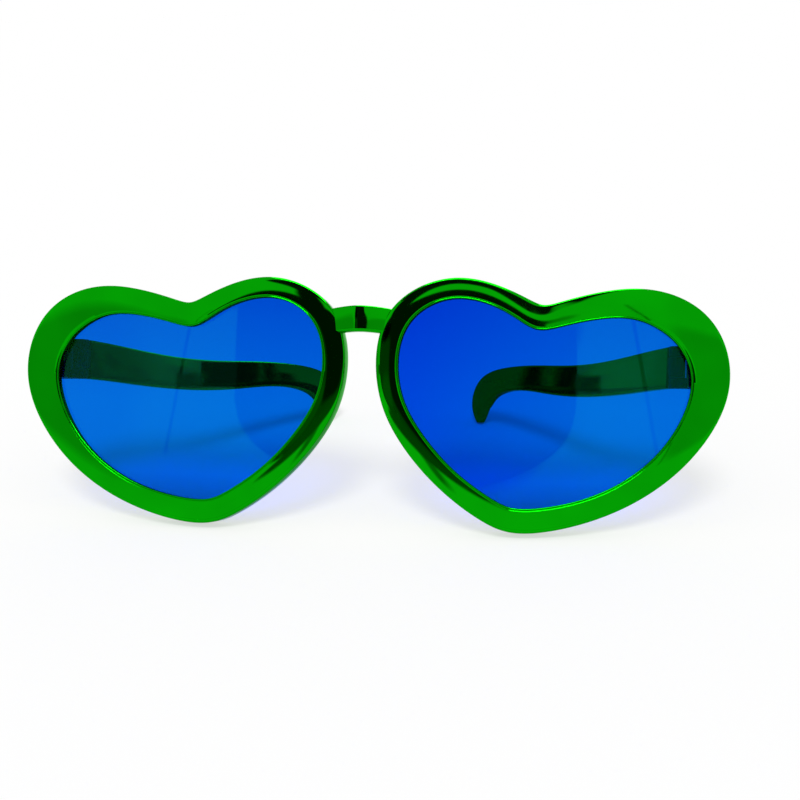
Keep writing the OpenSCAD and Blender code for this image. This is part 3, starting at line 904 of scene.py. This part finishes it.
# %% Cards before the pair
# Each row: name, distance before the pair, grey, blur, and an outline by (across, up), in mm
FRONT_CARDS = [
    ("room_left", 206, 0.08, 0.8, [
        (-44, 84), (-72, 96), (-131, 90), (-135, 60), (-135, 30), (-135, 4), (-123, -12),
        (-100, -24), (-62, -32), (-44, -34), (-42, 0), (-42, 50)]),
    ("room_right", 207, 0.05, 0.8, [
        (-44, -32), (20, -33), (55, -36), (80, -27), (106, -17), (119, 0), (120, 20), (119, 62),
        (104, 80), (60, 96), (-30, 96), (-44, 60), (-46, 10)]),
    ("shelf_left", 205, 0.2, 0.5, strip((-163, 25.7), (-133, 25.2), 7.2)),
    ("ledge_left", 205, 0.5, 1.5, strip((-184, 22), (-162, 22), 4)),
    ("ledge_right", 205, 0.3, 1.5, strip((118, 23.2), (136, 23.2), 4.6)),
    ("core", 200, 0.015, 4, [
        (60, -10), (64, 26), (104, 26), (124, 50), (116, 72), (92, 76), (88, 96), (62, 120),
        (25, 120), (-14, 112), (-60, 110), (-101, 110), (-126, 100), (-140, 80), (-142, 62),
        (-100, 60), (-58, 64), (-46, 30), (-50, -4), (0, -8)]),
    ("low", 201, 0.1, 6, [(56, 12), (60, -22), (-60, -22), (-54, 12)]),
    ("low_band", 202, 0.12, 5, [
        (105, -14), (80, -34), (0, -46), (-60, -54), (-120, -44), (-110, -22), (-30, -12),
        (40, -6)]),
    ("leg", 203, 0.3, 8, [(8, -30), (8, -80), (-26, -90), (-28, -30)]),
    ("arc", 199, 0.015, 4, [
        (84, 156), (96, 128), (104, 112), (112, 108), (120, 124), (134, 146), (150, 175),
        (130, 215), (0, 228), (-90, 215), (-130, 190), (-104, 163), (-72, 150), (-54, 138),
        (-50, 108), (-36, 110), (-22, 140), (19, 162), (64, 158)]),
    ("corner", 198, 0, 5, [(-70, 62), (-78, 92), (-116, 88), (-108, 58)]),
    ("near", 100, 0.015, 3, [(-12, 56), (-6, 74), (-16, 100), (-44, 98), (-46, 76), (-42, 60)]),
    ("wall_left", 480, 0.65, 25, [
        (-430, 160), (-900, 180), (-1300, 40), (-900, -70), (-430, -70), (-360, 40)]),
    ("wall_right", 481, 0.7, 8, [
        (280, 130), (800, 150), (1100, 30), (800, -70), (280, -60), (245, 30)]),
    ("low_left", 198.5, 0.15, 6, [(-44, 22), (-50, -14), (-90, -20), (-124, 4), (-84, 24)]),
    ("pole_left", 479, 0.3, 1, strip((-296, 135), (-340, -20), 2.25)),
    ("pole_right", 478, 0.3, 1, strip((220, 132), (266, -20), 2.25)),
]
for name, distance, grey, blur, outline in FRONT_CARDS:
    soft_card(f"card_{name}", outline, grey, blur, in_front(distance))
print(len(FRONT_CARDS), "cards before the pair")

# %% Cards beside the pair
# Each row: name, distance to the right, grey, blur, and an outline by (back, up), in mm
SIDE_CARDS = [
    ("right_far", 602, 0.3, 6, strip((-110, 100), (-14, 100), 110)),
    ("right", 600, 0, 3, strip((11, 100), (89, 100), 110)),
    ("right_slit", 599, 1.0, 0.7, strip((71.5, 0), (71.5, 200), 1.8)),
    ("right_low", 600, 0, 4, strip((-15, 50), (11, 50), 85)),
    ("right_end", 600, 0, 4, strip((89, 40), (104, 40), 69)),
    ("left", -600, 0, 4, strip((220, 100), (250, 100), 110)),
    ("left_low", -600, 0.05, 4, strip((201, 40), (222, 40), 69)),
    ("left_far", -600, 0, 3, strip((259, 100), (285, 100), 110)),
]
for name, distance, grey, blur, outline in SIDE_CARDS:
    soft_card(f"card_{name}", outline, grey, blur, beside(distance), by_lens=True)
print(len(SIDE_CARDS), "cards beside the pair")

# %% Strip lights above
LIGHTS_UP, LIGHTS_BLUR = 350, 10
STRIP_LIGHT, BACK_LIGHT = 12.0, 40.0
soft_card("card_strip_light", strip((-110, -90), (165, -90), 160), STRIP_LIGHT, LIGHTS_BLUR,
          above(LIGHTS_UP), mirrors=1)
soft_card("card_back_light", strip((40, 245), (200, 245), 45), BACK_LIGHT, LIGHTS_BLUR,
          above(LIGHTS_UP), mirrors=1, by_lens=True)
print("strip lights", LIGHTS_UP, "mm above the hearts' middle")

# %% Lamp
def soft_sun(name, azimuth, height, spread, level):
    """A sun at two angles in degrees, softened by its spread, that adds this much white to a
    level white floor: its strength is pi times that, over the sine of its height."""
    data = bpy.data.lights.new(name, "SUN")
    data.angle = math.radians(spread)
    data.energy = math.pi * level / math.sin(math.radians(height))
    lamp = bpy.data.objects.new(name, data)
    bpy.context.scene.collection.objects.link(lamp)
    a, h = math.radians(azimuth), math.radians(height)
    way = Vector((math.sin(a) * math.cos(h), -math.cos(a) * math.cos(h), math.sin(h)))
    lamp.rotation_euler = way.to_track_quat("Z", "Y").to_euler()
    lamp.visible_glossy = False
    print(name, "sun of", round(data.energy, 2), "watts a square metre")


soft_sun("key", azimuth=0, height=57, spread=18, level=1 - ROOM_LIGHT)

# %% [markdown]
# ## The camera
# The camera was found by matching the outlines of both hearts: it stands 480 mm from the front,
# a little to the right, looks slightly up at the pair's own frame, which leans back, and is a
# little tilted. Those values are kept in the wearer's frame and turned into the standing one:
# the camera's three axes come from turning by the yaw, tipping by the pitch and rolling. The
# lens follows from how many pixels of the picture one millimetre takes at the pair's distance.

# %% Camera
CAMERA_BACK, CAMERA_YAW = 480.0, math.radians(8.277)
CAMERA_PITCH, CAMERA_ROLL = math.radians(-2.931), math.radians(-1.489)
CAMERA_ASIDE, CAMERA_UP = -15.78, -0.83
PHOTO_W, PIXELS_PER_MM, SENSOR_W = 800, 2.60032, 36.0
SEES_FROM, SEES_TO = 0.01, 50
cy, sy = math.cos(CAMERA_YAW), math.sin(CAMERA_YAW)
cp, sp = math.cos(CAMERA_PITCH), math.sin(CAMERA_PITCH)
cr, sr = math.cos(CAMERA_ROLL), math.sin(CAMERA_ROLL)
turned = np.array([[cy, sy, 0], [-sy, cy, 0], [0, 0, 1]])
tipped = np.array([[1, 0, 0], [0, cp, -sp], [0, sp, cp]]) @ turned
right, up = cr * tipped[0] - sr * tipped[2], sr * tipped[0] + cr * tipped[2]
ahead = tipped[1]
eye = -(CAMERA_ASIDE * right + CAMERA_UP * up + CAMERA_BACK * ahead)
camera_data = bpy.data.cameras.new("camera")
camera = bpy.data.objects.new("camera", camera_data)
bpy.context.scene.collection.objects.link(camera)
bpy.context.scene.camera = camera
camera_data.sensor_width = SENSOR_W
camera_data.lens = SENSOR_W * (PIXELS_PER_MM * CAMERA_BACK / PHOTO_W)
pose = np.eye(4)
pose[:3, :3] = np.column_stack([LEANING @ right, LEANING @ up, -(LEANING @ ahead)])
pose[:3, 3] = stand(eye)
camera.matrix_world = Matrix(pose.tolist())
camera_data.clip_start = SEES_FROM
camera_data.clip_end = SEES_TO
print("camera at", [round(v, 3) for v in stand(eye)], "lens", round(camera_data.lens, 2), "mm")

# %% Finish
bpy.context.scene.view_settings.view_transform = "Standard"
low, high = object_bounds()
print("visual box in mm:", [round((b - a) / MM, 1) for a, b in zip(low, high)])
